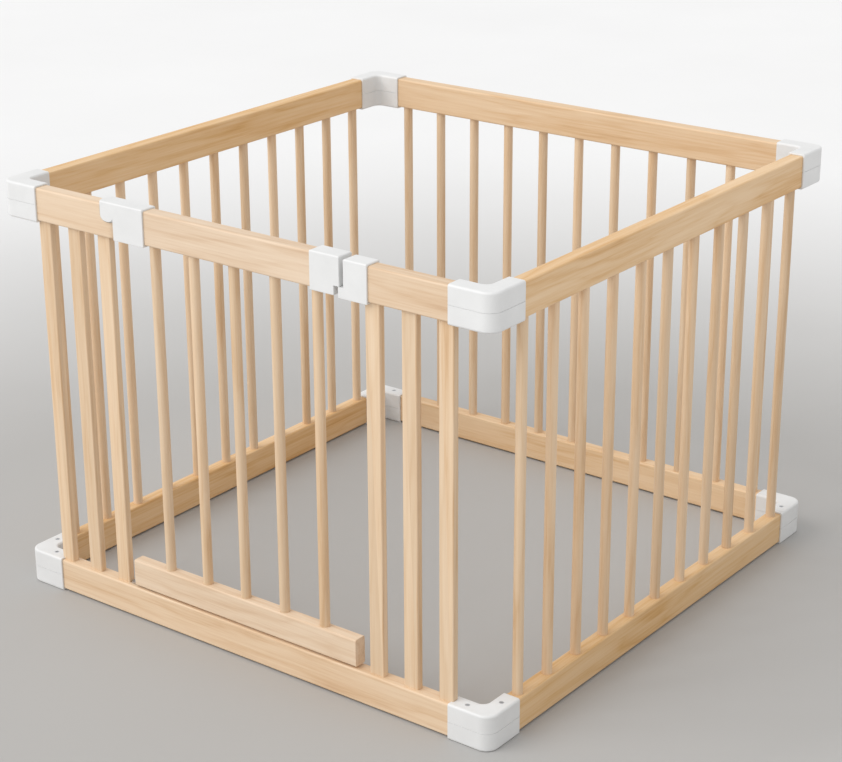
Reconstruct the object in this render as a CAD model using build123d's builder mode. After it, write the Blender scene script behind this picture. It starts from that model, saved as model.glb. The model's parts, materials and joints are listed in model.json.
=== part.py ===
"""Square wooden playpen: three barred panels, a front panel with a lift-and-swing gate, plastic corners.

Millimetres. +Z is up, the gate panel faces -Y, and the origin is the centre of the footprint on the floor.
"""

import os

from build123d import *

# ---- driving dimensions: frame ------------------------------------------------------------------------
SIDE = 1000.0            # square, over the plastic corners
FRAME_H = 736.0          # floor to the top of the plastic corners
RAIL_T = 26.0            # rail thickness
RAIL_H = 56.0            # rail height
RAIL_END = 463.0         # rails end here, inside the connectors
EASE = 3.0               # round-over on long wooden edges

SPINDLE_R = 8.5          # round bar radius
SPINDLES = 11            # bars in each plain panel
SPINDLE_PITCH = 80.9     # their spacing
POSTS = 3                # flat posts each side of the gate
POST_W = 27.0            # post width, along the front
POST_T = 13.0            # post thickness
POST_EASE = 2.0          # round-over on the posts' long edges
POST_PITCH = 67.5        # post spacing
POST_INNER = 276.0       # innermost post centre, from the middle of the front
BURY = 15.0              # depth of bars and posts in the rails
FIT = 0.1                # clearance around bars and posts in their holes
SLOT_FIT = 0.3           # clearance around bars and posts where they pass through plastic
END_GAP = 0.5            # gap at the buried ends of bars, posts, screws and pins

# ---- driving dimensions: plastic connectors and screws ------------------------------------------------
WALL = 3.0               # plastic wall around every rail
SOCKET_FIT = 0.2         # clearance between rails and plastic
ARM = 80.0               # length of a connector's arm from the outer face
CORNER_R = 22.0          # outer vertical edge of a connector
INNER_R = 12.0           # inner vertical edge of a connector
ARM_CHAMFER = 0.8        # edges at the ends of its arms
EDGE_R = 1.2             # small plastic edges
CROWN_R = 4.0            # round-over on a connector's horizontal edges
SOFT = 2.5               # round-over on a cap's top edges
SEAM_W = 1.0             # shadow line between a connector's two shells
SEAM_D = 0.8             # its depth
SCREW_AT = 447.0         # screws of a connector, from the middle of a side
SCREW_R = 2.0            # screw shank
SCREW_HOLE_R = 2.3       # clearance hole
THREAD_FIT = 0.05        # radial gap where a screw's thread bites
HEAD_R = 3.6             # screw head
HEAD_H = 1.6             # screw head height
RECESS_R = 4.0           # recess for a screw head
RECESS_D = 1.8           # its depth
BOSS_R = 5.5             # screw boss in a connector
BOSS_H = 26.0            # its height
SLOT_W = 0.9             # cross slot in a screw head
SLOT_L = 4.6             # its length

# ---- driving dimensions: gate -------------------------------------------------------------------------
GATE_LIFT = 2.5          # how much higher the closed gate sits than the frame
GATE_SPINDLES = 5        # bars in the gate
GATE_PITCH = 83.5        # their spacing
GATE_LEFT = -243.0       # left end of the gate's bottom rail
GATE_RIGHT = 238.0       # its right end
GATE_LOW_Z = 62.5        # its underside
GATE_LOW_H = 47.5        # its height
GATE_LOW_T = 23.0        # its thickness

HINGE_X = -256.0         # hinge axis, on the rails' centreline
LIP_TOP = 703.0          # top of the half-height hinge lip on the left stub
RUN_GAP = 0.5            # gap between parts that pass each other
LOBE_R = 21.0            # the cap's hinge lobe, a disc about the axis with flattened sides
LOBE_FOOT_R = 12.0       # its rounded lower edge
HINGE_CAP_END = -177.0   # right end of the hinge cap

LATCH_CAP_START = 165.0  # left end of the gate's latch cap
LATCH_CAP_END = 222.0    # right end of its overhang
LATCH_STEP = 211.5       # right end of its lower half
LATCH_STEP_Z = 692.0     # underside of the overhang
CATCH_START = 229.5      # left face of the catch cap
CATCH_END = 274.0        # its right end
CATCH_TAB = 219.5        # tip of its tab

PIN_TOP_R = 3.5          # upper hinge pin
PIN_LOW_R = 3.0          # lower hinge pin
PIN_COLLAR_R = 5.0       # collar that carries the gate
PIN_COLLAR_GAP = 0.35    # gap above and below the collar
BUSH_WALL = 1.2          # hinge bush wall
BUSH_LOW_H = 30.0        # lower bush length
RUN = 0.05               # radial running clearance of the pins
PIN_ROOF = 11.0          # plastic above the upper pin

STRAP_T = 2.0            # pivot strap under the gate's bottom rail
STRAP_W = 11.0           # its width
STRAP_END = -186.0       # its right end
STRAP_SCREWS = (-226.0, -198.0)
STRAP_SCREW_R = 1.6      # their shanks
STRAP_HEAD_R = 3.1       # their heads
STRAP_SCREW_L = 18.0     # their length
CAP_SCREW_L = 18.0       # screws that hold the three caps
CAP_SCREWS = {"hinge": -208.0, "latch": 192.0, "catch": 250.0}

# ---- derived ------------------------------------------------------------------------------------------
half = SIDE / 2
cap_half = RAIL_T / 2 + WALL
rail_mid = half - cap_half
front_y = -rail_mid
block_h = RAIL_H + 2 * WALL
low_z = WALL
low_top = low_z + RAIL_H
high_z = FRAME_H - WALL - RAIL_H
high_top = high_z + RAIL_H
arm_end = half - ARM
gate_z = high_z + GATE_LIFT
gate_top = gate_z + RAIL_H
gate_low_top = GATE_LOW_Z + GATE_LOW_H
cap_z = gate_z - WALL
cap_left = HINGE_X + RAIL_T / 2 + RUN_GAP
head_z = 2 * WALL + RAIL_H - RECESS_D
mid_height = Plane.XY.offset(FRAME_H / 2)
frame_screw_z = high_z + RAIL_H / 2
gate_screw_z = gate_z + RAIL_H / 2

spindle_xs = [(i - (SPINDLES - 1) / 2) * SPINDLE_PITCH for i in range(SPINDLES)]
gate_xs = [(i - (GATE_SPINDLES - 1) / 2) * GATE_PITCH for i in range(GATE_SPINDLES)]
post_xs = [POST_INNER + i * POST_PITCH for i in range(POSTS)]
corner_screws = [(SCREW_AT, -rail_mid), (rail_mid, -SCREW_AT)]

os.makedirs("parts", exist_ok=True)


def save(part, label):
    """Label a finished piece and write it as one STEP file."""
    part.label = label
    export_step(part, f"parts/{label}.step")


# ---- helpers that work inside the current part block --------------------------------------------------
def section(x, z, height=RAIL_H):
    """Upright plane across the front rails at x, centred on a rail whose underside is at z."""
    return Plane(origin=(x, front_y, z + height / 2), x_dir=(0, 1, 0), z_dir=(1, 0, 0))


def bar(start, end, z, height=RAIL_H, thick=RAIL_T, ease=EASE, mode=Mode.ADD):
    """A straight bar along the front, with rounded long edges."""
    with BuildSketch(section(start, z, height)) as profile:
        RectangleRounded(thick, height, ease)
    extrude(profile.sketch, amount=end - start, mode=mode)


def socket(start, end, z):
    """The space that a rail takes inside a plastic piece."""
    grown = 2 * SOCKET_FIT
    bar(start, end, z - SOCKET_FIT, RAIL_H + grown, RAIL_T + grown, EASE, Mode.SUBTRACT)


def columns(points, radius, z, height, mode=Mode.ADD):
    """Upright cylinders, or holes, from height z."""
    with BuildSketch(Plane.XY.offset(z)) as circles:
        with Locations(points):
            Circle(radius)
    extrude(circles.sketch, amount=height, mode=mode)


def front_columns(xs, radius, z, height, mode=Mode.ADD):
    """Upright cylinders, or holes, on the front rails' centreline."""
    columns([(x, front_y) for x in xs], radius, z, height, mode)


def post_columns(xs, z, height, grow=0.0, mode=Mode.ADD):
    """Flat posts, or mortises, on the front rails' centreline."""
    with BuildSketch(Plane.XY.offset(z)) as profiles:
        with Locations([(x, front_y) for x in xs]):
            RectangleRounded(POST_W + 2 * grow, POST_T + 2 * grow, POST_EASE + grow)
    extrude(profiles.sketch, amount=height, mode=mode)


def screw_way(xs, base_z, direction):
    """The stepped hole that a connector's boss and screw take through a rail end."""
    front_columns(xs, SCREW_HOLE_R, base_z, direction * RAIL_H, Mode.SUBTRACT)
    front_columns(xs, BOSS_R + SOCKET_FIT, base_z, direction * (BOSS_H + END_GAP), Mode.SUBTRACT)


def rear_column(x, z, radius, start, length, mode=Mode.ADD):
    """A cylinder, or a hole, that runs forward from the depth start behind the caps' rear faces."""
    rear = Plane(origin=(x, front_y + cap_half - start, z), x_dir=(1, 0, 0), z_dir=(0, -1, 0))
    with BuildSketch(rear) as circle:
        Circle(radius)
    extrude(circle.sketch, amount=length, mode=mode)


def cap_screw_way(x, z):
    """The recess and clearance hole for a cap's screw."""
    rear_column(x, z, RECESS_R, 0, RECESS_D, Mode.SUBTRACT)
    rear_column(x, z, SCREW_HOLE_R, 0, cap_half, Mode.SUBTRACT)


def cap_screw_thread(x, z):
    """The hole in a rail that a cap's screw bites into."""
    rear_column(x, z, SCREW_R + THREAD_FIT, 0, RECESS_D + CAP_SCREW_L + END_GAP, Mode.SUBTRACT)


def cross_slot(plane):
    """A cross recess cut into a screw head, on the head's outer face."""
    with BuildSketch(plane) as cross:
        Rectangle(SLOT_L, SLOT_W)
        Rectangle(SLOT_W, SLOT_L)
    extrude(cross.sketch, amount=-SLOT_W, mode=Mode.SUBTRACT)


# ---- plain panels, made at the front and turned about Z to their sides ---------------------------------
with BuildPart() as plain_bottom_rail:
    bar(-RAIL_END, RAIL_END, low_z)
    front_columns(spindle_xs, SPINDLE_R + FIT, low_top, -BURY, Mode.SUBTRACT)
    screw_way((-SCREW_AT, SCREW_AT), low_z, 1)

with BuildPart() as plain_top_rail:
    bar(-RAIL_END, RAIL_END, high_z)
    front_columns(spindle_xs, SPINDLE_R + FIT, high_z, BURY, Mode.SUBTRACT)
    screw_way((-SCREW_AT, SCREW_AT), high_top, -1)

with BuildPart() as spindle_row:
    spindle_z = low_top - BURY + END_GAP
    front_columns(spindle_xs, SPINDLE_R, spindle_z, FRAME_H - 2 * spindle_z)

for side, turn in {"right": 90, "back": 180, "left": 270}.items():
    save(plain_bottom_rail.part.rotate(Axis.Z, turn), f"{side}_bottom_rail")
    save(plain_top_rail.part.rotate(Axis.Z, turn), f"{side}_top_rail")
    save(spindle_row.part.rotate(Axis.Z, turn), f"{side}_spindles")

# ---- front panel: rails and flat posts ----------------------------------------------------------------
left_post_xs = [-x for x in post_xs]
bush_low_r = PIN_LOW_R + RUN + BUSH_WALL
bush_top_r = PIN_TOP_R + RUN + BUSH_WALL

with BuildPart() as front_bottom_rail:
    bar(-RAIL_END, RAIL_END, low_z)
    post_columns(left_post_xs + post_xs, low_top, -BURY, FIT, Mode.SUBTRACT)
    front_columns([HINGE_X], bush_low_r + RUN, low_top, -BUSH_LOW_H - END_GAP, Mode.SUBTRACT)
    screw_way((-SCREW_AT, SCREW_AT), low_z, 1)
save(front_bottom_rail.part, "front_bottom_rail")

with BuildPart() as hinge_hollow:
    front_columns([HINGE_X], LOBE_R + RUN_GAP, LIP_TOP, RAIL_H)
    fillet(hinge_hollow.faces().sort_by(Axis.Z)[0].edges(), LOBE_FOOT_R)

# The left stub ends in a barrel about the hinge axis, hollowed down to a lip for the gate's hinge lobe.
with BuildPart() as front_left_stub_rail:
    with BuildSketch(Plane.XY.offset(high_z)):
        with Locations(((HINGE_X - RAIL_END) / 2, front_y)):
            Rectangle(HINGE_X + RAIL_END, RAIL_T)
        with Locations((HINGE_X, front_y)):
            Circle(RAIL_T / 2)
    extrude(amount=RAIL_H)
    fillet(front_left_stub_rail.faces().filter_by(Axis.Z).edges(), EASE)
    add(hinge_hollow.part, mode=Mode.SUBTRACT)
    front_columns([HINGE_X], bush_top_r + RUN, high_z, RAIL_H, Mode.SUBTRACT)
    post_columns(left_post_xs, high_z, BURY, FIT, Mode.SUBTRACT)
    screw_way([-SCREW_AT], high_top, -1)
save(front_left_stub_rail.part, "front_left_stub_rail")

with BuildPart() as front_right_stub_rail:
    bar(CATCH_START + WALL, RAIL_END, high_z)
    post_columns(post_xs, high_z, BURY, FIT, Mode.SUBTRACT)
    screw_way([SCREW_AT], high_top, -1)
    cap_screw_thread(CAP_SCREWS["catch"], frame_screw_z)
save(front_right_stub_rail.part, "front_right_stub_rail")

for side, xs in {"left": left_post_xs, "right": post_xs}.items():
    with BuildPart() as posts:
        post_columns(xs, spindle_z, FRAME_H - 2 * spindle_z)
    save(posts.part, f"front_{side}_posts")


# ---- corner connectors, made at the front right and turned about Z -------------------------------------
def corner_outline(inset=0.0):
    """The L-shaped plan of a connector, as a sketch."""
    far = half - inset
    near = half - 2 * cap_half + inset
    end = arm_end + inset
    arm = [(end, -far), (far, -far), (far, -end)]
    inside = [(near, -end), (near, -near), (end, -near)]
    with BuildSketch() as outline:
        with BuildLine():
            Polyline(*arm, *inside, close=True)
        make_face()
        fillet(outline.vertices().sort_by_distance((far, -far))[0], CORNER_R - inset)
        fillet(outline.vertices().sort_by_distance((near, -near))[0], INNER_R + inset)
    return outline.sketch


def at_arm_end(edge):
    """True for an edge in the end face of one of a connector's arms."""
    middle = edge.center()
    return min(middle.X, -middle.Y) < arm_end + ARM_CHAMFER / 2


diagonal = Plane(origin=(0, 0, 0), z_dir=(1, 1, 0))

with BuildPart() as corner_block:
    extrude(corner_outline(), amount=block_h)
    rims = corner_block.faces().filter_by(Axis.Z).edges()
    fillet(rims.filter_by(at_arm_end, reverse=True), CROWN_R)
    chamfer(corner_block.edges().filter_by(at_arm_end), ARM_CHAMFER)
    with BuildSketch(Plane.XY.offset((block_h - SEAM_W) / 2)):
        add(corner_outline())
        add(corner_outline(SEAM_D), mode=Mode.SUBTRACT)
    extrude(amount=SEAM_W, mode=Mode.SUBTRACT)

with BuildPart() as corner_room:
    grown = 2 * SOCKET_FIT
    bar(arm_end - WALL, RAIL_END, low_z - SOCKET_FIT, RAIL_H + grown, RAIL_T + grown)
    mirror(about=diagonal)

with BuildPart() as corner_base:
    add(corner_block.part - corner_room.part)
    split(bisect_by=Plane.XY.offset(block_h / 2), keep=Keep.BOTTOM)
    columns(corner_screws, BOSS_R, WALL / 2, BOSS_H + WALL / 2)
    columns(corner_screws, SCREW_R + THREAD_FIT, low_z + WALL, BOSS_H, Mode.SUBTRACT)

with BuildPart() as corner_cover:
    add(corner_block.part - corner_room.part)
    split(bisect_by=Plane.XY.offset(block_h / 2), keep=Keep.TOP)
    columns(corner_screws, SCREW_HOLE_R, low_z, block_h, Mode.SUBTRACT)
    columns(corner_screws, RECESS_R, head_z, RECESS_D, Mode.SUBTRACT)

# The outer flat posts pass through the front arms, so those covers have an open slot.
with BuildPart() as slotted_cover:
    add(corner_cover.part)
    post_columns([post_xs[-1]], low_z, block_h, SLOT_FIT, Mode.SUBTRACT)

corner_turns = {"front_right": 0, "back_right": 90, "back_left": 180, "front_left": 270}
corner_covers = {
    "front_right": slotted_cover.part,
    "back_right": corner_cover.part,
    "back_left": corner_cover.part,
    "front_left": slotted_cover.part.mirror(diagonal),
}
for corner, turn in corner_turns.items():
    base = corner_base.part.rotate(Axis.Z, turn)
    cover = corner_covers[corner].rotate(Axis.Z, turn)
    save(base, f"{corner}_bottom_base")
    save(cover, f"{corner}_bottom_cover")
    save(base.mirror(mid_height), f"{corner}_top_base")
    save(cover.mirror(mid_height), f"{corner}_top_cover")

# ---- connector screws: from above at the bottom corners, from below at the top corners -----------------
with BuildPart() as corner_screw_group:
    for turn in corner_turns.values():
        spots = [Vector(x, y).rotate(Axis.Z, turn) for x, y in corner_screws]
        columns(spots, HEAD_R, head_z, HEAD_H)
        columns(spots, SCREW_R, low_z + WALL + END_GAP, head_z - low_z - WALL - END_GAP)
        for spot in spots:
            cross_slot(Plane.XY.offset(head_z + HEAD_H).move(Location(spot)))
save(corner_screw_group.part, "bottom_corner_screws")
save(corner_screw_group.part.mirror(mid_height), "top_corner_screws")

# ---- gate: rails and bars ------------------------------------------------------------------------------
cap_top = gate_top + WALL
lobe_z = LIP_TOP + RUN_GAP

with BuildPart() as gate_top_rail:
    bar(cap_left + WALL, LATCH_STEP - WALL, gate_z)
    front_columns(gate_xs, SPINDLE_R + FIT, gate_z, BURY, Mode.SUBTRACT)
    cap_screw_thread(CAP_SCREWS["hinge"], gate_screw_z)
    cap_screw_thread(CAP_SCREWS["latch"], gate_screw_z)
save(gate_top_rail.part, "gate_top_rail")

with BuildPart() as gate_bottom_rail:
    bar(GATE_LEFT, GATE_RIGHT, GATE_LOW_Z, GATE_LOW_H, GATE_LOW_T)
    front_columns(gate_xs, SPINDLE_R + FIT, gate_low_top, -BURY, Mode.SUBTRACT)
    front_columns(STRAP_SCREWS, STRAP_SCREW_R + THREAD_FIT, GATE_LOW_Z, STRAP_SCREW_L, Mode.SUBTRACT)
save(gate_bottom_rail.part, "gate_bottom_rail")

with BuildPart() as gate_spindles:
    foot_z = gate_low_top - BURY + END_GAP
    front_columns(gate_xs, SPINDLE_R, foot_z, gate_z + BURY - END_GAP - foot_z)
save(gate_spindles.part, "gate_spindles")


# ---- plastic caps of the gate and the catch --------------------------------------------------------------
def cap_block(outline):
    """A cap's block, drawn in front view and extruded over its depth."""
    rear = Plane(origin=(0, front_y + cap_half, 0), x_dir=(1, 0, 0), z_dir=(0, -1, 0))
    with BuildSketch(rear) as front_view:
        with BuildLine() as edge:
            Polyline(*outline, close=True)
        make_face(edge.edges())
    extrude(front_view.sketch, amount=2 * cap_half)


def soften(cap):
    """Round the top and bottom edges of a cap."""
    fillet(cap.faces().sort_by(Axis.Z)[-1].edges(), SOFT)
    fillet(cap.faces().sort_by(Axis.Z)[0].edges(), EDGE_R)


# The lobe is a disc about the hinge axis, as thick as the cap, that turns in the left stub's hollow.
with BuildPart() as hinge_lobe:
    front_columns([HINGE_X], LOBE_R, lobe_z, cap_top - lobe_z)
    fillet(hinge_lobe.faces().sort_by(Axis.Z)[0].edges(), LOBE_FOOT_R)
    with BuildSketch(Plane.XY.offset(lobe_z)):
        with Locations((HINGE_X, front_y)):
            Rectangle(2 * LOBE_R, 2 * cap_half)
    extrude(amount=cap_top - lobe_z, mode=Mode.INTERSECT)

with BuildPart() as gate_hinge_cap:
    cap_block([(cap_left, cap_z), (HINGE_CAP_END, cap_z), (HINGE_CAP_END, cap_top), (cap_left, cap_top)])
    fillet(gate_hinge_cap.edges().filter_by(Axis.Z).group_by(Axis.X)[-1], EDGE_R)
    add(hinge_lobe.part)
    soften(gate_hinge_cap)
    socket(cap_left + WALL - SOCKET_FIT, HINGE_CAP_END + WALL, gate_z)
    front_columns([HINGE_X], PIN_TOP_R + RUN, lobe_z, cap_top - PIN_ROOF - lobe_z, Mode.SUBTRACT)
    cap_screw_way(CAP_SCREWS["hinge"], gate_screw_z)
save(gate_hinge_cap.part, "gate_hinge_cap")

with BuildPart() as gate_latch_cap:
    cap_block(
        [
            (LATCH_CAP_START, cap_z),
            (LATCH_STEP, cap_z),
            (LATCH_STEP, LATCH_STEP_Z),
            (LATCH_CAP_END, LATCH_STEP_Z),
            (LATCH_CAP_END, cap_top),
            (LATCH_CAP_START, cap_top),
        ]
    )
    fillet(gate_latch_cap.edges().filter_by(Axis.Z), EDGE_R)
    soften(gate_latch_cap)
    socket(LATCH_CAP_START - WALL, LATCH_STEP - WALL + SOCKET_FIT, gate_z)
    front_columns([gate_xs[-1]], SPINDLE_R + SLOT_FIT, cap_z, WALL, Mode.SUBTRACT)
    cap_screw_way(CAP_SCREWS["latch"], gate_screw_z)
save(gate_latch_cap.part, "gate_latch_cap")

with BuildPart() as latch_catch_cap:
    tab_z = LATCH_STEP_Z - RUN_GAP
    cap_block(
        [
            (CATCH_TAB, high_z - WALL),
            (CATCH_END, high_z - WALL),
            (CATCH_END, FRAME_H),
            (CATCH_START, FRAME_H),
            (CATCH_START, tab_z),
            (CATCH_TAB, tab_z),
        ]
    )
    fillet(latch_catch_cap.edges().filter_by(Axis.Z), EDGE_R)
    soften(latch_catch_cap)
    socket(CATCH_START + WALL - SOCKET_FIT, CATCH_END + WALL, high_z)
    post_columns([post_xs[0]], high_z - WALL, WALL, SLOT_FIT, Mode.SUBTRACT)
    cap_screw_way(CAP_SCREWS["catch"], frame_screw_z)
save(latch_catch_cap.part, "latch_catch_cap")


def cap_screw(x, z):
    """A screw from behind, with its cross recess, in the current part."""
    head_start = RECESS_D - HEAD_H
    rear_column(x, z, HEAD_R, head_start, HEAD_H)
    rear_column(x, z, SCREW_R, RECESS_D, CAP_SCREW_L)
    face = Plane(origin=(x, front_y + cap_half - head_start, z), x_dir=(1, 0, 0), z_dir=(0, 1, 0))
    cross_slot(face)


with BuildPart() as gate_cap_screws:
    cap_screw(CAP_SCREWS["hinge"], gate_screw_z)
    cap_screw(CAP_SCREWS["latch"], gate_screw_z)
save(gate_cap_screws.part, "gate_cap_screws")

with BuildPart() as catch_cap_screw:
    cap_screw(CAP_SCREWS["catch"], frame_screw_z)
save(catch_cap_screw.part, "catch_cap_screw")

# ---- hinge pins, their bushes in the frame, and the gate's lower pivot strap -----------------------------
with BuildPart() as upper_hinge_bush:
    front_columns([HINGE_X], bush_top_r, high_z, LIP_TOP - high_z)
    front_columns([HINGE_X], PIN_TOP_R + RUN, high_z, LIP_TOP - high_z, Mode.SUBTRACT)
save(upper_hinge_bush.part, "upper_hinge_bush")

with BuildPart() as lower_hinge_bush:
    front_columns([HINGE_X], bush_low_r, low_top, -BUSH_LOW_H)
    front_columns([HINGE_X], PIN_LOW_R + RUN, low_top, -BUSH_LOW_H, Mode.SUBTRACT)
save(lower_hinge_bush.part, "lower_hinge_bush")

with BuildPart() as upper_hinge_pin:
    pin_z = high_z + END_GAP
    front_columns([HINGE_X], PIN_TOP_R, pin_z, cap_top - PIN_ROOF - END_GAP - pin_z)
save(upper_hinge_pin.part, "upper_hinge_pin")

strap_z = GATE_LOW_Z - STRAP_T
with BuildPart() as lower_hinge_pin:
    pin_z = low_top - BUSH_LOW_H + END_GAP
    front_columns([HINGE_X], PIN_LOW_R, pin_z, GATE_LOW_Z - PIN_COLLAR_GAP - pin_z)
    collar_z = low_top + PIN_COLLAR_GAP
    front_columns([HINGE_X], PIN_COLLAR_R, collar_z, strap_z - PIN_COLLAR_GAP - collar_z)
save(lower_hinge_pin.part, "lower_hinge_pin")

with BuildPart() as gate_pivot_strap:
    strap_run = STRAP_END - STRAP_W / 2 - HINGE_X
    with BuildSketch(Plane.XY.offset(strap_z)):
        with Locations((HINGE_X + strap_run / 2, front_y)):
            SlotCenterToCenter(strap_run, STRAP_W)
    extrude(amount=STRAP_T)
    front_columns([HINGE_X], PIN_LOW_R + RUN, strap_z, STRAP_T, Mode.SUBTRACT)
    front_columns(STRAP_SCREWS, STRAP_SCREW_R + SOCKET_FIT, strap_z, STRAP_T, Mode.SUBTRACT)
    front_columns(STRAP_SCREWS, STRAP_HEAD_R + SOCKET_FIT, strap_z, STRAP_T / 2, Mode.SUBTRACT)
save(gate_pivot_strap.part, "gate_pivot_strap")

with BuildPart() as gate_strap_screws:
    front_columns(STRAP_SCREWS, STRAP_HEAD_R, strap_z, STRAP_T / 2)
    front_columns(STRAP_SCREWS, STRAP_SCREW_R, strap_z, STRAP_T + STRAP_SCREW_L - END_GAP)
save(gate_strap_screws.part, "gate_strap_screws")
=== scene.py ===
"""Looks of the playpen.

Wood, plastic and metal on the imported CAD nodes, with a pale floor, soft light and a camera.
Lengths are in metres and angles in degrees.
"""
import json
import math

import bpy
from mathutils import Matrix, Vector

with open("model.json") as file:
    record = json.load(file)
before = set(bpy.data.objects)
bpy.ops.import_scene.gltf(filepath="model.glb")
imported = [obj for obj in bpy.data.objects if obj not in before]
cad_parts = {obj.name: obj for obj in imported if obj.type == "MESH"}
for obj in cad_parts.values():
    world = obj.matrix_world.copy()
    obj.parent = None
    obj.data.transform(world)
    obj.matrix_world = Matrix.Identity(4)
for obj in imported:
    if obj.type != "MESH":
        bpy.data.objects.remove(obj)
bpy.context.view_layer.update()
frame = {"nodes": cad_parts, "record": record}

# ---- camera, floor and light ---------------------------------------------------------------------
CAMERA_AT = (2.0944, -2.7622, 1.680)
CAMERA_YAW = -37.272
CAMERA_PITCH = -21.179
CAMERA_ROLL = -0.262
CAMERA_LENS = 90.04
CAMERA_REACH = 200.0

FLOOR_HALF = 30.0
FLOOR_NEAR = 0.5         # the floor grows paler between these distances from the middle
FLOOR_FAR = 3.1
WORLD_STRENGTH = 0.81
KEY_FROM = (-2.6, -4.4, 4.2)
KEY_STRENGTH = 1.56
KEY_ANGLE = 50.0         # apparent size of the key light, for soft shadows

# ---- wood: the axis that each rail's grain runs along, and its saturation, which is painted shade ---
X, Y, Z = 0, 1, 2
# The second number is painted shade: it saturates the colour most on the left and right rails, less
# on the back rails and least on the front and gate rails, following how light falls on each.
RAIL_GRAIN_AND_PAINTED_SHADE = {
    "back_bottom_rail": (X, 1.18),
    "back_top_rail": (X, 1.12),
    "front_bottom_rail": (X, 1.02),
    "front_left_stub_rail": (X, 0.96),
    "front_right_stub_rail": (X, 0.96),
    "gate_bottom_rail": (X, 0.92),
    "gate_top_rail": (X, 0.90),
    "left_bottom_rail": (Y, 1.32),
    "left_top_rail": (Y, 1.34),
    "right_bottom_rail": (Y, 1.36),
    "right_top_rail": (Y, 1.28),
}
BARS = (
    "back_spindles",
    "front_left_posts",
    "front_right_posts",
    "gate_spindles",
    "left_spindles",
    "right_spindles",
)
BAR_WARMTH = 1.07
WOOD_HUE = 0.495         # a touch redder than the colours below; 0.5 is no change
WOOD_COLOURS = [
    (0.34, (0.800, 0.640, 0.460)),
    (0.50, (0.735, 0.560, 0.375)),
    (0.60, (0.670, 0.480, 0.295)),
    (0.76, (0.520, 0.330, 0.180)),
]
WOOD_GLOSS = (0.42, 0.60)
WOOD_SPECULAR = 0.38
WOOD_RELIEF = 0.00025    # depth of the relief, in metres
WOOD_BUMP = 0.55         # its strength

# Noise in cycles per metre, along the grain and across it.
FIGURE = (1.6, 15.0)
DRIFT = (2.2, 6.0)
STREAKS = (6.0, 230.0)
FIBRES = (35.0, 1500.0)
FIGURE_SHARE = 0.46
STREAKS_SHARE = 0.36
FIBRES_SHARE = 0.12
LINES_SHARE = 0.085

# Growth lines per metre on the two axes across the grain, and how far the noise bends them.
LINES = (95.0, 60.0)
FIGURE_BEND = 9.0
DRIFT_BEND = 7.0
LINE_SHARPNESS = 2.2

GOLDEN = 0.618034        # multiples of it fall evenly between 0 and 1
RAIL_START = Vector((3.1, 1.7, 2.3))
RAIL_STEP = Vector((7.0, 5.0, 9.0))
RAIL_TONE = 0.99
RAIL_TONE_RANGE = 0.05
BAR_JUMP = (9.0, 9.0, 9.0)
BAR_TONE = (0.92, 1.04)

# ---- plastic and metal ---------------------------------------------------------------------------
WHITE = [(0.35, (0.775, 0.775, 0.77)), (0.65, (0.725, 0.725, 0.72))]
NYLON = [(0.35, (0.74, 0.74, 0.72)), (0.65, (0.66, 0.66, 0.64))]
ZINC = [(0.35, (0.66, 0.67, 0.68)), (0.65, (0.50, 0.51, 0.53))]
WHITE_GLOSS = (0.36, 0.50)
NYLON_GLOSS = (0.32, 0.46)
ZINC_GLOSS = (0.26, 0.44)
PLASTIC_SPECULAR = 0.45
CLOUDS = 22.0
GRIT = 1700.0
SMEARS = (30.0, 75.0)
BRUSHED = (60.0, 2600.0)
PATCHES = 140.0
PLASTIC_RELIEF = 0.00012
PLASTIC_BUMP = 0.45
ZINC_RELIEF = 0.00006
ZINC_BUMP = 0.4

# ---- floor surface -------------------------------------------------------------------------------
FLOOR_CLOUDS = 1.4
FLOOR_CLOUD_SHARE = 0.12
FLOOR_ROUGHNESS = 0.75
FLOOR_COLOURS = [
    (0.0, (0.46, 0.452, 0.44)),
    (FLOOR_CLOUD_SHARE, (0.44, 0.432, 0.42)),
    (1.0, (0.86, 0.86, 0.86)),
]


def add_node(tree, kind, inputs=None, **settings):
    """Add a shader node. Inputs are values, or sockets to link from."""
    node = tree.nodes.new(kind)
    for key, value in settings.items():
        setattr(node, key, value)
    for key, value in (inputs or {}).items():
        if isinstance(value, bpy.types.NodeSocket):
            tree.links.new(value, node.inputs[key])
        else:
            node.inputs[key].default_value = value
    return node


def new_material(name):
    """An empty node material, its tree and its surface shader."""
    material = bpy.data.materials.new(name)
    material.use_nodes = True
    tree = material.node_tree
    tree.nodes.clear()
    shader = add_node(tree, "ShaderNodeBsdfPrincipled")
    output = add_node(tree, "ShaderNodeOutputMaterial")
    tree.links.new(shader.outputs["BSDF"], output.inputs["Surface"])
    return material, tree, shader


def object_place(tree):
    """Position in the object's own space, which is the CAD frame."""
    return add_node(tree, "ShaderNodeTexCoord").outputs["Object"]


def noise(tree, vector, scale, detail=2.0, roughness=0.5, distortion=0.0):
    """A noise texture's value, 0 to 1."""
    inputs = {
        "Vector": vector,
        "Scale": scale,
        "Detail": detail,
        "Roughness": roughness,
        "Distortion": distortion,
    }
    return add_node(tree, "ShaderNodeTexNoise", inputs).outputs["Fac"]


def calculate(tree, operation, *values):
    """One arithmetic step."""
    return add_node(tree, "ShaderNodeMath", dict(enumerate(values)), operation=operation).outputs[0]


def spread(tree, value, low, high, start=0.3, end=0.7, interpolation="LINEAR"):
    """A value between start and end spread over another range."""
    inputs = {"Value": value, "From Min": start, "From Max": end, "To Min": low, "To Max": high}
    node = add_node(tree, "ShaderNodeMapRange", inputs, interpolation_type=interpolation)
    return node.outputs["Result"]


def blended(tree, parts):
    """A weighted sum of (value, weight) pairs."""
    total = 0.0
    for value, weight in parts:
        total = calculate(tree, "MULTIPLY_ADD", value, weight, total)
    return total


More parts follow.
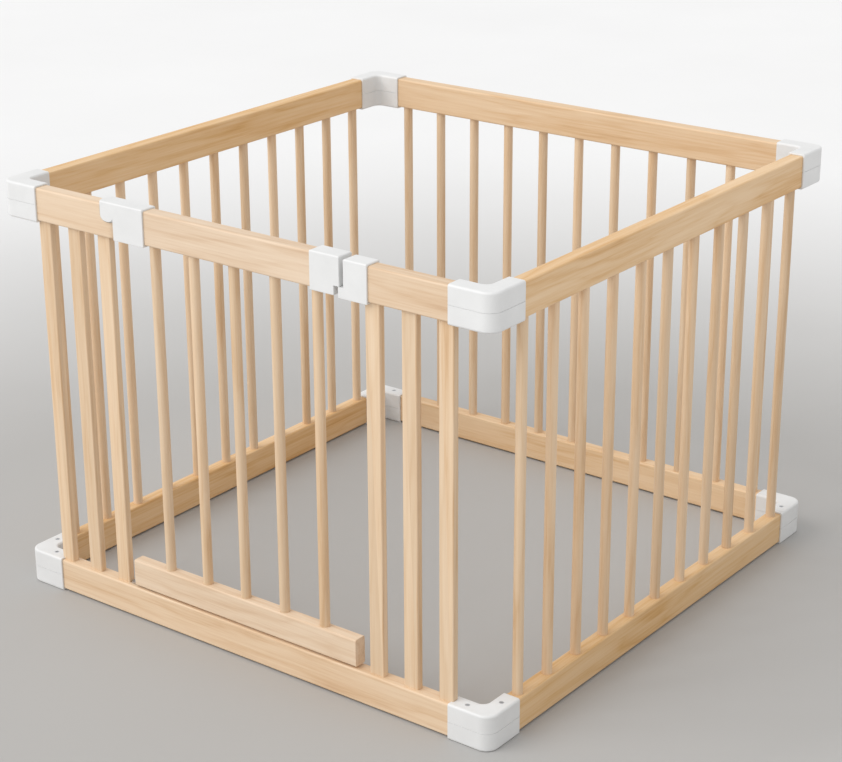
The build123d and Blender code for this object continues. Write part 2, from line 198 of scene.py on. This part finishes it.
def ramp(tree, value, stops):
    """A colour ramp from (position, colour) stops."""
    node = add_node(tree, "ShaderNodeValToRGB", {"Fac": value})
    elements = node.color_ramp.elements
    while len(elements) < len(stops):
        elements.new(0.5)
    for element, (position, colour) in zip(elements, stops):
        element.position = position
        element.color = (*colour, 1.0)
    return node.outputs["Color"]


def toned(tree, colour, tone, saturation_and_painted_shade):
    """A colour made lighter or darker by a varying factor, and more or less saturated; on the rails
    the saturation carries painted shade.
    """
    inputs = {"Color": colour, "Value": tone, "Saturation": saturation_and_painted_shade, "Hue": WOOD_HUE}
    return add_node(tree, "ShaderNodeHueSaturation", inputs).outputs["Color"]


def relief(tree, shader, height, distance, strength):
    """Fine relief on the surface."""
    inputs = {"Height": height, "Distance": distance, "Strength": strength}
    node = add_node(tree, "ShaderNodeBump", inputs)
    tree.links.new(node.outputs["Normal"], shader.inputs["Normal"])


def stretched(tree, place, grain, cycles):
    """Coordinates scaled one way along the grain and another way across it."""
    along, across = cycles
    scale = [across] * 3
    scale[grain] = along
    return add_node(tree, "ShaderNodeMapping", {"Vector": place, "Scale": scale}).outputs["Vector"]


def growth_lines(tree, place, grain, figure):
    """Fine dark lines along the grain, bent by the figure."""
    drift = noise(tree, stretched(tree, place, grain, DRIFT), 1.0)
    bend = blended(tree, [(figure, FIGURE_BEND), (drift, DRIFT_BEND)])
    split = add_node(tree, "ShaderNodeSeparateXYZ", {0: place}).outputs
    sides = [split[axis] for axis in (X, Y, Z) if axis != grain]
    phase = blended(tree, [(sides[0], LINES[0]), (sides[1], LINES[1]), (bend, 1.0)])
    wave = calculate(tree, "PINGPONG", phase, 1.0)
    return calculate(tree, "POWER", wave, LINE_SHARPNESS)


def wood_surface(material_parts, place, grain, tone, saturation_and_painted_shade):
    """Pale lacquered softwood: wide figure, growth lines, fine streaks and open fibres."""
    material, tree, shader = material_parts
    broad = stretched(tree, place, grain, FIGURE)
    figure = noise(tree, broad, 1.0, detail=3.0, roughness=0.55, distortion=0.5)
    streaks = noise(tree, stretched(tree, place, grain, STREAKS), 1.0, detail=4.0, roughness=0.6)
    fibres = noise(tree, stretched(tree, place, grain, FIBRES), 1.0)
    lines = growth_lines(tree, place, grain, figure)
    shares = [
        (figure, FIGURE_SHARE),
        (streaks, STREAKS_SHARE),
        (fibres, FIBRES_SHARE),
        (lines, LINES_SHARE),
    ]
    colour = ramp(tree, blended(tree, shares), WOOD_COLOURS)
    tree.links.new(toned(tree, colour, tone, saturation_and_painted_shade), shader.inputs["Base Color"])
    gloss = blended(tree, [(streaks, 0.6), (figure, 0.4)])
    tree.links.new(spread(tree, gloss, *WOOD_GLOSS), shader.inputs["Roughness"])
    shader.inputs["Specular IOR Level"].default_value = WOOD_SPECULAR
    height = blended(tree, [(fibres, 0.6), (streaks, 0.4), (lines, -0.15)])
    relief(tree, shader, height, WOOD_RELIEF, WOOD_BUMP)
    return material


def rail_wood(name, grain, saturation_and_painted_shade, number):
    """Wood for one rail; number shifts the pattern so that no two rails match, and the rail's
    saturation is painted shade for how light falls on it.
    """
    parts = new_material(f"wood_{name}")
    tree = parts[1]
    own = (number * GOLDEN) % 1.0
    inputs = {0: object_place(tree), 1: RAIL_START + own * RAIL_STEP}
    place = add_node(tree, "ShaderNodeVectorMath", inputs, operation="ADD").outputs[0]
    return wood_surface(parts, place, grain, RAIL_TONE + RAIL_TONE_RANGE * own, saturation_and_painted_shade)


def bar_wood(name, number):
    """Wood for a node of upright bars, each with its own piece of the pattern and its own tone."""
    parts = new_material(f"wood_{name}")
    tree = parts[1]
    lot = add_node(tree, "ShaderNodeNewGeometry").outputs["Random Per Island"]
    lot = calculate(tree, "ADD", lot, number * GOLDEN)
    jump = add_node(tree, "ShaderNodeTexWhiteNoise", {"W": lot}, noise_dimensions="1D")
    inputs = {0: jump.outputs["Color"], 1: BAR_JUMP, 2: object_place(tree)}
    place = add_node(tree, "ShaderNodeVectorMath", inputs, operation="MULTIPLY_ADD").outputs[0]
    tone = spread(tree, jump.outputs["Value"], *BAR_TONE, 0.0, 1.0)
    return wood_surface(parts, place, Z, tone, BAR_WARMTH)


def moulded(name, colours, gloss):
    """Moulded plastic: slight clouding, a fine spark-eroded texture and uneven gloss."""
    material, tree, shader = new_material(name)
    place = object_place(tree)
    clouds = noise(tree, place, CLOUDS, detail=3.0)
    grit = noise(tree, place, GRIT, roughness=0.6)
    smears = noise(tree, stretched(tree, place, Z, SMEARS), 1.0, detail=4.0, roughness=0.6)
    pattern = blended(tree, [(clouds, 0.7), (grit, 0.3)])
    tree.links.new(ramp(tree, pattern, colours), shader.inputs["Base Color"])
    tree.links.new(spread(tree, smears, *gloss), shader.inputs["Roughness"])
    shader.inputs["Specular IOR Level"].default_value = PLASTIC_SPECULAR
    relief(tree, shader, grit, PLASTIC_RELIEF, PLASTIC_BUMP)
    return material


def zinc_steel():
    """Zinc-plated steel: brushed streaks, dull patches."""
    material, tree, shader = new_material("zinc_steel")
    place = object_place(tree)
    brushed = noise(tree, stretched(tree, place, X, BRUSHED), 1.0, detail=3.0)
    patches = noise(tree, place, PATCHES, detail=3.0)
    pattern = blended(tree, [(brushed, 0.5), (patches, 0.5)])
    tree.links.new(ramp(tree, pattern, ZINC), shader.inputs["Base Color"])
    tree.links.new(spread(tree, patches, *ZINC_GLOSS), shader.inputs["Roughness"])
    shader.inputs["Metallic"].default_value = 1.0
    relief(tree, shader, brushed, ZINC_RELIEF, ZINC_BUMP)
    return material


def floor_surface():
    """Plain pale floor with the faintest unevenness, whiter far from the object."""
    material, tree, shader = new_material("pale_floor")
    place = object_place(tree)
    away = add_node(tree, "ShaderNodeVectorMath", {0: place}, operation="LENGTH").outputs["Value"]
    clouds = noise(tree, place, FLOOR_CLOUDS, detail=4.0)
    paler = spread(tree, away, 0.0, 1.0 - FLOOR_CLOUD_SHARE, FLOOR_NEAR, FLOOR_FAR, "SMOOTHSTEP")
    pattern = blended(tree, [(clouds, FLOOR_CLOUD_SHARE), (paler, 1.0)])
    tree.links.new(ramp(tree, pattern, FLOOR_COLOURS), shader.inputs["Base Color"])
    shader.inputs["Roughness"].default_value = FLOOR_ROUGHNESS
    return material


def paint(node, material):
    """Give a CAD node one material."""
    slots = frame["nodes"][node].data.materials
    slots.clear()
    slots.append(material)


# ---- materials on the CAD nodes ------------------------------------------------------------------
# Each rail's saturation from the table is painted shade.
for number, (node, (grain, saturation_and_painted_shade)) in enumerate(RAIL_GRAIN_AND_PAINTED_SHADE.items(), 1):
    paint(node, rail_wood(node, grain, saturation_and_painted_shade, number))
for number, node in enumerate(BARS, 1):
    paint(node, bar_wood(node, number))

slot_materials = {
    "white_plastic": moulded("white_plastic", WHITE, WHITE_GLOSS),
    "nylon": moulded("nylon", NYLON, NYLON_GLOSS),
    "steel": zinc_steel(),
}
for entry in frame["record"]["subparts"]:
    if entry["material_slot"] in slot_materials:
        paint(entry["node"], slot_materials[entry["material_slot"]])

# ---- floor, light and camera ---------------------------------------------------------------------
floor_mesh = bpy.data.meshes.new("floor")
signs = [(-1, -1), (1, -1), (1, 1), (-1, 1)]
floor_corners = [(x * FLOOR_HALF, y * FLOOR_HALF, 0.0) for x, y in signs]
floor_mesh.from_pydata(floor_corners, [], [(0, 1, 2, 3)])
floor = bpy.data.objects.new("floor", floor_mesh)
bpy.context.scene.collection.objects.link(floor)
floor_mesh.materials.append(floor_surface())

world = bpy.data.worlds.new("studio")
world.use_nodes = True
background = world.node_tree.nodes["Background"]
background.inputs["Color"].default_value = (1.0, 1.0, 1.0, 1.0)
background.inputs["Strength"].default_value = WORLD_STRENGTH
bpy.context.scene.world = world

key_data = bpy.data.lights.new("key", "SUN")
key_data.energy = KEY_STRENGTH
key_data.angle = math.radians(KEY_ANGLE)
key = bpy.data.objects.new("key", key_data)
key.rotation_euler = (-Vector(KEY_FROM)).to_track_quat("-Z", "Y").to_euler()
bpy.context.scene.collection.objects.link(key)

yaw = math.radians(CAMERA_YAW)
pitch = math.radians(CAMERA_PITCH)
roll = math.radians(CAMERA_ROLL)
ahead = Vector((math.sin(yaw) * math.cos(pitch), math.cos(yaw) * math.cos(pitch), math.sin(pitch)))
level = Vector((math.cos(yaw), -math.sin(yaw), 0.0))
upright = level.cross(ahead)
right = math.cos(roll) * level + math.sin(roll) * upright
up = math.cos(roll) * upright - math.sin(roll) * level
turn = Matrix((right, up, -ahead)).transposed()
camera_data = bpy.data.cameras.new("camera")
camera_data.lens = CAMERA_LENS
camera_data.clip_end = CAMERA_REACH
camera = bpy.data.objects.new("camera", camera_data)
camera.matrix_world = Matrix.Translation(CAMERA_AT) @ turn.to_4x4()
bpy.context.scene.collection.objects.link(camera)
bpy.context.scene.camera = camera
bpy.context.scene.view_settings.view_transform = "Standard"
